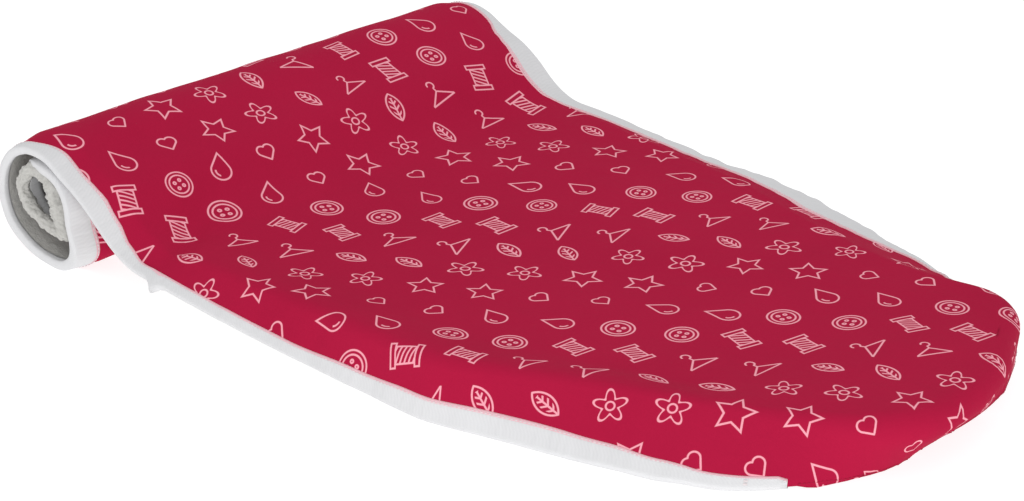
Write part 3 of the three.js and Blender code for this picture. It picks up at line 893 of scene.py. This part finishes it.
def thread_finish(finish, settings, colour=None):
    """Sewing thread with its twist."""
    place = finish.object_place()
    twist = finish.node("TexWave", {"bands_direction": "DIAGONAL"}, Vector=place, Scale=700.0, Distortion=0.6)
    shade = finish.shaded(twist, colour or settings.thread_colour, 0.85)
    finish.surface(shade, 0.6, finish.bump(twist, 0.4, 0.0002))


def seam_thread_finish(finish, settings):
    """Thread in the cotton's own red."""
    thread_finish(finish, settings, settings.cotton_colour)


def elastic_finish(finish, settings):
    """Braided elastic: ribs along its length, crossed by the braid."""
    along, across = finish.flat("tape_run")
    cords, braid = ribs(across, 1.1), ribs(along, 1.6)
    shade = finish.shaded(cords * 0.6 + braid * 0.4, settings.elastic_colour, 0.8)
    finish.surface(shade, 0.7, finish.bump(cords * braid, 0.5, 0.0003))


def finish_of(build):
    """The material that a function builds, made once and named after it."""
    name = build.__name__
    if name not in bpy.data.materials:
        build(Finish(name), bpy.context.scene.cover_settings)
    return bpy.data.materials[name]


def colour_setting(name, description, default):
    return FloatVectorProperty(
        name=name, description=description, subtype="COLOR", size=3, min=0, max=1, default=default)


def number_setting(name, description, default, lowest, subtype="DISTANCE"):
    return FloatProperty(name=name, description=description, default=default, min=lowest, subtype=subtype)


class CoverSettings(bpy.types.PropertyGroup):
    """Sizes and colours of the cover."""

    cotton_colour: colour_setting("Cotton", "Red of the printed cotton", (0.44, 0.0075, 0.048))
    ink_colour: colour_setting("Ink", "Colour of the print's lines", (0.98, 0.42, 0.5))
    tape_colour: colour_setting("Tape", "Colour of the casing tape", (0.765, 0.765, 0.78))
    wadding_colour: colour_setting("Wadding", "Colour of the wadding", (0.66, 0.65, 0.62))
    thread_colour: colour_setting("Thread", "Colour of the sewing thread", (0.86, 0.78, 0.79))
    elastic_colour: colour_setting("Elastic", "Colour of the elastic", (0.82, 0.82, 0.78))
    motif_pitch: number_setting("Motif pitch", "Distance between motifs across the cover", 0.049, 0.02)
    motif_row: number_setting("Motif rows", "Distance between rows of motifs along the cover", 0.0405, 0.02)
    line_width: number_setting("Line width", "Width of the print's lines", 0.00128, 0.0002)
    stitch_pitch: number_setting("Stitch pitch", "Distance from stitch to stitch", 0.0036, 0.001)
    stitch_thickness: number_setting("Thread thickness", "Thickness of the sewing thread", 0.0006, 0.0001)


class StageSettings(bpy.types.PropertyGroup):
    """The floor, the lights and the camera."""

    floor_size: number_setting("Floor", "Width of the floor", 14.0, 1)
    key_power: number_setting("Key light", "Power of the main light", 10.0, 0, "POWER")
    fill_power: number_setting("Fill light", "Power of the fill light", 8.0, 0, "POWER")
    sky: number_setting("Sky", "Brightness of the white room", 0.69, 0, "NONE")
    lens: number_setting("Lens", "Focal length of the camera in millimetres", 115.7, 10, "NONE")


def nose_reach(stop):
    """How far down the print goes: to the tape's rim, and beyond the tape's end to the floor."""
    floor = (SEAM_LIFT + RIM_DEPTH * max(math.cos(stop.slant), 0) - COTTON) / math.sin(stop.slant)
    share = 1 if stop.row == LAST else smooth(stop.tail, TAPE_CUT, TO_FLOOR)
    return stop.skirt + floor * share


def even(depth):
    """The same depth under the print everywhere."""
    return lambda row, share, length: depth


class COVER_OT_cotton(bpy.types.Operator):
    """Lays the printed cotton over the roll, the slope, the panel and the skirts"""

    bl_idname = "cover.cotton"
    bl_label = "Printed cotton"

    def execute(self, context):
        bm = cover_surface(even(0), nose_reach)
        obj = piece("printed_cotton", bm, ["printed_cover"], print_cotton_finish, COTTON)
        return {"FINISHED"}


def wadding_reach(stop):
    return stop.skirt - WADDING_INSET


def wadding_depth(row, share, length):
    p = panel_point(row, share)
    inset = (1 - abs(share)) * HALF_WIDTH
    deep = lerp(WADDING_RIM, WADDING_DEEP, smooth(inset, 0, WADDING_THINS))
    place = Vector((SPINE[row] / LUMP_WIDE, p.y / LUMP_WIDE, length / LUMP_DEEP))
    return deep + LUMP_HIGH * noise.noise(place)


class COVER_OT_wadding(bpy.types.Operator):
    """Fills the cover with wadding and lets it puff out of the inner turn's end"""

    bl_idname = "cover.wadding"
    bl_label = "Wadding"

    def execute(self, context):
        bm = cover_surface(even(WADDING_TOP), wadding_reach)
        join(bm, cover_surface(wadding_depth, wadding_reach, facing_out=False))
        rims = [e for e in bm.edges if e.is_boundary]
        bmesh.ops.bridge_loops(bm, edges=rims)
        obj = piece("wadding", bm, ["wadding_pad"], wadding_finish)
        for name, side in (("near_tuft", -1), ("far_tuft", 1)):
            piece(name, tuft_ring(side), [], wadding_finish)
        return {"FINISHED"}


# The loose fibre's ring in the roll's end: along, up and radius in millimetres from the roll's middle
TUFT = [
    (20, -17, 6.2), (6, -20, 5.6), (-10, -15, 5.4), (-22, -7, 5.4), (-29, 3, 5.2), (-27, 14, 5.4),
    (-15, 25, 5.6), (0, 27, 6.4), (11, 19, 7.8), (18, 7, 8.2), (22.5, -6, 7.6),
]
TUFT_STEPS = 264
TUFT_ROUND = 34
TUFT_INSET = 7 * MM


def tuft_place(at):
    """The ring's middle line and radius at a share of its way round, as a smooth closed curve."""
    at = at % 1 * len(TUFT)
    k, t = int(at), at % 1
    a, b, c, d = (Vector(TUFT[(k + step) % len(TUFT)]) for step in (-1, 0, 1, 2))
    bend = (a * -1 + b * 3 - c * 3 + d) * t**3 + (a * 2 - b * 5 + c * 4 - d) * t**2 + (c - a) * t
    return (b + bend / 2) * MM


def tuft_ring(side):
    """Loose fibre that stands out of the inner turn's end, as a lumpy closed tube."""
    frames = []
    for k in range(TUFT_STEPS + 1):
        share = k % TUFT_STEPS / TUFT_STEPS
        here, ahead = tuft_place(share), tuft_place(share + 0.01)
        along = Vector((ahead.x - here.x, 0, ahead.y - here.y)).normalized()
        out = Vector((0, side, 0))
        place = Vector((ROLL_X + here.x, side * (HALF_WIDTH - TUFT_INSET), ROLL_HEIGHT + here.y))
        frames.append(RimFrame(place, out, along.cross(out), here.z))

    def section(f):
        points = []
        for k in range(TUFT_ROUND + 1):
            turn = -math.tau * (k % TUFT_ROUND) / TUFT_ROUND
            way = between(f.out, f.normal, turn)
            q = (f.place + way * f.leg) * 1000
            lumps = 0.3 * noise.noise(q / 9) + 0.26 * noise.noise(q / 4 + way) + 0.16 * noise.noise(q / 1.9)
            points.append(f.place + way * f.leg * (1.04 + lumps))
        return points

    bm = strip(frames, section)
    bmesh.ops.remove_doubles(bm, verts=bm.verts, dist=MERGE / 2)
    bmesh.ops.recalc_face_normals(bm, faces=bm.faces)
    return bm


def strip(frames, section):
    """A strip of tape as a bmesh: a flat grid bent to a section at each frame, with its run as UVs."""
    rows = [section(f) for f in frames]
    run, across = runs_of([f.place for f in frames]), runs_of(rows[0])
    bm, uv, cells = grid(len(frames) - 1, len(rows[0]) - 1, "tape_run")
    flats = {}
    for v, i, j in cells:
        v.co, flats[v] = rows[i][j], (run[i], across[j])
    lay_out(bm, uv, flats)
    return bm


class RimFrame:
    """A place on the cover's rim: how the tape lies there."""

    def __init__(self, place, out, normal, leg, stop=None, kink=0.0):
        self.place, self.out, self.normal = place, out, normal
        self.leg, self.stop, self.kink = leg, stop, kink

    def at(self, out, depth):
        out += self.kink * max(1 + out / self.leg, 0)
        if self.stop and out < 0:
            lift = skirt_swell(self.stop, self.stop.skirt + out)
            return self.stop.on(self.stop.skirt + out, depth - lift)
        lift = skirt_swell(self.stop, self.stop.skirt) if self.stop else 0
        return self.place + self.out * out + self.normal * (lift - depth)


def rim_frame(stop):
    out, normal = stop.rim()
    left = 1 - max(stop.tail - TAPE_END, 0) / TAPE_END_SLANT
    away = (stop.place.x - KINK_X) / KINK_WIDTH
    kink = KINK_REACH * math.exp(-away * away) if stop.share < 0 and stop.angle == 0 else 0
    return RimFrame(stop.on(stop.skirt, 0), out, normal, max(stop.leg * left, LEAST_LEG), stop, kink)


def casing_frames():
    """The tape's frames from the near pocket corner to the heel, across it and out to the far corner."""
    near, far = ([rim_frame(s) for s in edge if s.tail <= TAPE_CUT] for edge in (NEAR_EDGE, FAR_EDGE))
    back = panel_point(0, 0) - panel_point(1, 0)
    normal = STATIONS[0].normal
    back = (back - normal * back.dot(normal)).normalized()
    reach = back * (CLEARANCE + LEG_WIDE)
    heel = [RimFrame(panel_point(0, share) + reach, back, normal, LEG_WIDE) for share in SHARES[2:-2:2]]
    ends = [RimFrame(f.place + reach, f.out + back, f.normal, LEG_WIDE) for f in (near[0], far[0])]
    return [*near[::-1], ends[0], *heel, ends[1], *far]


def tape_section(f):
    """The folded tape's section, from the end of its outer leg round the rim to its inner leg's end."""
    leg, deep = f.leg, RIM_DEPTH + 0.6 * MM
    middle, half = (deep - TAPE_LIFT) / 2, (deep + TAPE_LIFT) / 2
    points = [(-leg, -0.15 * MM)]
    points += [(out, -TAPE_LIFT) for out in (1.2 * MM - leg, -leg * 0.7, -leg * 0.4, -2.5 * MM)]
    for k in range(TAPE_BEND_STEPS + 1):
        turn = math.pi * k / TAPE_BEND_STEPS
        points.append((1.6 * MM * math.sin(turn) - 0.6 * MM, middle - half * math.cos(turn)))
    points += [(-2.5 * MM, deep), (-leg * INNER_LEG * 0.6, deep), (-leg * INNER_LEG, deep - 0.2 * MM)]
    return [f.at(out, depth) for out, depth in points]


FRAMES = casing_frames()


def band_section(depth, *insets):
    """The section of a flat band this deep, at distances in millimetres from the rim."""
    return lambda f: [f.at(-inset * MM, depth) for inset in insets]


class COVER_OT_casing(bpy.types.Operator):
    """Folds the casing tape round the rim and threads the elastic through it"""

    bl_idname = "cover.casing"
    bl_label = "Casing tape"

    def execute(self, context):
        bm = strip(FRAMES, tape_section)
        obj = piece("casing", bm, ["edge_casing"], casing_tape_finish, TAPE)
        bm = strip(FRAMES[2:-2], band_section(BAND_DEEP, 7.2, 5.2, 3.2, 1.4))
        piece("elastic_band", bm, ["edge_elastic"], elastic_finish, BAND)
        return {"FINISHED"}


def stitch_line(points, normals, pitch, thickness):
    """A row of stitches along points: one short lump of thread, its corners and faces in a fixed order,
    doubled until there are enough."""
    runs = runs_of(points)
    count = int(runs[-1] / pitch)
    bm = bmesh.new()
    bmesh.ops.create_uvsphere(bm, u_segments=8, v_segments=5, radius=0.4)
    bm.verts.sort(key=lambda v: v.co.dot(LUMP_ORDER))
    bm.faces.sort(key=lambda f: f.calc_center_median().dot(LUMP_ORDER))
    made = 1
    while made < count:
        copy = bmesh.ops.duplicate(bm, geom=bm.verts[:] + bm.edges[:] + bm.faces[:])["geom"]
        verts = [e for e in copy if isinstance(e, bmesh.types.BMVert)]
        bmesh.ops.translate(bm, verts=verts, vec=(made, 0, 0))
        made *= 2
    spare = [v for v in bm.verts if v.co.x > count - 0.5]
    bmesh.ops.delete(bm, geom=spare, context="VERTS")
    turns = []
    k = 0
    for n in range(count):
        at = (n + 0.5) * pitch
        while k + 2 < len(runs) and runs[k + 1] < at:
            k += 1
        t = (at - runs[k]) / max(runs[k + 1] - runs[k], 1e-9)
        along = (points[k + 1] - points[k]).normalized()
        side = along.cross(normals[k].lerp(normals[k + 1], t)).normalized()
        up = side.cross(along) * thickness * STITCH_HIGH
        turns.append((points[k].lerp(points[k + 1], t), along * pitch, side * thickness * STITCH_WIDE, up))
    for v in bm.verts:
        n = round(v.co.x)
        place, along, side, up = turns[n]
        v.co = place + along * (v.co.x - n) + side * v.co.y + up * v.co.z
    return bm


def sew(name, node, points, normals, build=thread_finish):
    """A sewn seam as a piece of its own."""
    settings = bpy.context.scene.cover_settings
    bm = stitch_line(points, normals, settings.stitch_pitch, settings.stitch_thickness)
    return piece(name, bm, [node], build)


class COVER_OT_stitching(bpy.types.Operator):
    """Sews the tape to the print, the pocket to the rim and tacks the corners"""

    bl_idname = "cover.stitching"
    bl_label = "Stitching"

    def execute(self, context):
        points = [f.at(SEAM_INSET - f.leg, -SEAM_RISE) for f in FRAMES]
        sew("casing_seam", "casing_stitching", points, [f.normal for f in FRAMES])
        rim = pocket_stops()[2:-2]
        points = [s.on(s.skirt - 1.2 * MM, -0.1 * MM - skirt_swell(s, s.skirt)) for s in rim]
        normals = [s.rim()[1] for s in rim]
        sew("pocket_seam", "pocket_seam_stitching", points, normals, seam_thread_finish)

        thickness = context.scene.cover_settings.stitch_thickness * 0.8
        for side, at, ahead in (("near", 4, 6), ("far", -5, -7)):
            bm, f = bmesh.new(), FRAMES[at]
            way = (FRAMES[ahead].place - f.place).normalized()
            for k in range(TACK_ROWS):
                ends = [f.at(out, -TACK_RISE) + way * (k * TACK_STEP) for out in TACK_ENDS]
                join(bm, stitch_line(ends, [f.normal, f.normal], TACK_PITCH, thickness))
            piece(f"tack_{side}", bm, [f"bartack_{side}"], thread_finish)
        return {"FINISHED"}


def pocket_stops():
    """The stops that the pocket is sewn to, from the near corner round the nose to the far one."""
    near, far = ([s for s in edge if s.tail >= TAPE_END] for edge in (NEAR_EDGE, FAR_EDGE))
    return near + NOSE_EDGE[1:-1] + far[::-1]


def pocket_edge(stop):
    """The pocket's sewn edge at a stop, tucked in under the tape's ends."""
    tucked = POCKET_TUCK * (1 - smooth(stop.tail, TAPE_END, TAPE_END + 1.5 * TAPE_END_SLANT))
    return stop.on(stop.skirt, 0) - stop.out * tucked


def hem_point(share):
    """A point of the pocket's free edge, from corner to corner."""
    stops = pocket_stops()
    p = pocket_edge(stops[0]).lerp(pocket_edge(stops[-1]), share)
    return Vector((p.x - POCKET_BOW * share * (1 - share), p.y, 0))


class COVER_OT_pocket(bpy.types.Operator):
    """Lays the nose pocket under the nose, with its bound and sewn free edge"""

    bl_idname = "cover.pocket"
    bl_label = "Nose pocket"

    def execute(self, context):
        stops = pocket_stops()
        runs = runs_of([s.on(s.skirt, 0) for s in stops])
        bm, uv, cells = grid(len(stops) - 1, POCKET_ROWS, "flat_cloth")
        flats = {}
        for v, i, j in cells:
            t = j / POCKET_ROWS
            p = Vector((*pocket_edge(stops[i]).xy, 0)).lerp(hem_point(runs[i] / runs[-1]), t)
            swell = POCKET_PUFF * (ripple(p, 0.03, 2.2) + 0.6) * math.sin(math.pi * min(t * 1.1, 1))
            v.co = Vector((p.x, p.y, POCKET_LIFT + max(swell, 0)))
            flats[v] = (p.x + POCKET_PRINT, p.y)
        lay_out(bm, uv, flats)
        bmesh.ops.recalc_face_normals(bm, faces=bm.faces)
        if sum(f.normal.z for f in bm.faces) > 0:
            bmesh.ops.reverse_faces(bm, faces=bm.faces)
        panel = piece("pocket_panel", bm, ["nose_pocket"], print_cotton_finish, COTTON)

        up, back = Vector((0, 0, 1)), Vector((-1, 0, 0))
        shares = [lerp(0.07, 0.93, k / HEM_STEPS) for k in range(HEM_STEPS + 1)]
        frames = [RimFrame(hem_point(share) + up * HEM_LIFT, back, up, HEM_WIDTH) for share in shares]
        bm = strip(frames, band_section(0, 12, 9, 6, 3, 0))
        piece("pocket_hem", bm, ["pocket_hem_tape"], casing_tape_finish, TAPE)
        points = [f.at(-HEM_WIDTH / 2, -TAPE) for f in frames]
        sew("pocket_hem_seam", "pocket_hem_stitching", points, [up] * len(points))
        return {"FINISHED"}


CAMERA_PLACE = (1.6701, -1.7196, 1.0841)
CAMERA_AZIMUTH = 45.0
CAMERA_ELEVATION = 23.54
LIGHTS_AIM = Vector((0, 0, 0.03))


class COVER_OT_stage(bpy.types.Operator):
    """Puts up the pale floor, the soft lights and the camera"""

    bl_idname = "cover.stage"
    bl_label = "Floor, lights and camera"

    def execute(self, context):
        settings = context.scene.stage_settings
        bm = bmesh.new()
        bmesh.ops.create_grid(bm, x_segments=1, y_segments=1, size=settings.floor_size / 2)
        floor = linked("floor", mesh_of("floor", bm))
        finish = Finish("pale_floor")
        grain = finish.noise(finish.object_place(), 3.0)
        pale = finish.mix(grain, (0.29, 0.29, 0.29), (0.31, 0.31, 0.31))
        finish.surface(pale, 0.9, specular=0.1, Emission_Color=(1, 1, 1), Emission_Strength=0.85)
        floor.data.materials.append(finish.material)

        for name, power, size, place in (
            ("key_light", settings.key_power, 1.0, (1.35, -1.2, 0.42)),
            ("fill_light", settings.fill_power, 2.4, (-1.6, -1.8, 1.8)),
            ("back_light", settings.fill_power, 2.0, (-0.6, 2.0, 2.0)),
        ):
            lamp = linked(name, bpy.data.lights.new(name, "AREA"))
            lamp.data.energy, lamp.data.size = power, size
            lamp.location = place
            lamp.rotation_euler = (LIGHTS_AIM - Vector(place)).to_track_quat("-Z", "Y").to_euler()

        world = bpy.data.worlds.new("white_room")
        world.use_nodes = True
        colour, strength = world.node_tree.nodes["Background"].inputs[:2]
        colour.default_value, strength.default_value = (1, 1, 1, 1), settings.sky
        context.scene.world = world
        context.scene.view_settings.view_transform = "Standard"

        camera = linked("camera", bpy.data.cameras.new("camera"))
        camera.data.lens, camera.data.sensor_width, camera.data.clip_end = settings.lens, 36, 100
        camera.location = CAMERA_PLACE
        turn = Matrix.Rotation(math.radians(CAMERA_AZIMUTH), 3, "Z")
        tilt = Matrix.Rotation(math.radians(90 - CAMERA_ELEVATION), 3, "X")
        camera.rotation_euler = (turn @ tilt).to_euler()
        context.scene.camera = camera
        return {"FINISHED"}


class COVER_PT_panel(bpy.types.Panel):
    """Lists the cover's settings and its pieces."""

    bl_idname = "COVER_PT_panel"
    bl_label = "Board Cover"
    bl_space_type = "VIEW_3D"
    bl_region_type = "UI"
    bl_category = "Board Cover"

    def draw(self, context):
        for name in ("cover_settings", "stage_settings"):
            group = getattr(context.scene, name)
            for key in group.bl_rna.properties.keys():
                if key not in ("rna_type", "name"):
                    self.layout.prop(group, key)
        for operator in OPERATORS:
            self.layout.operator(operator.bl_idname)


OPERATORS = [
    COVER_OT_stage, COVER_OT_cotton, COVER_OT_wadding, COVER_OT_casing, COVER_OT_pocket, COVER_OT_stitching,
]
CLASSES = [CoverSettings, StageSettings, *OPERATORS, COVER_PT_panel]


def register():
    for cls in CLASSES:
        bpy.utils.register_class(cls)
    bpy.types.Scene.cover_settings = PointerProperty(type=CoverSettings)
    bpy.types.Scene.stage_settings = PointerProperty(type=StageSettings)


def unregister():
    del bpy.types.Scene.stage_settings
    del bpy.types.Scene.cover_settings
    for cls in reversed(CLASSES):
        bpy.utils.unregister_class(cls)


def main():
    register()
    for operator in OPERATORS:
        getattr(bpy.ops.cover, operator.bl_idname.removeprefix("cover."))()


if __name__ == "__main__":
    main()
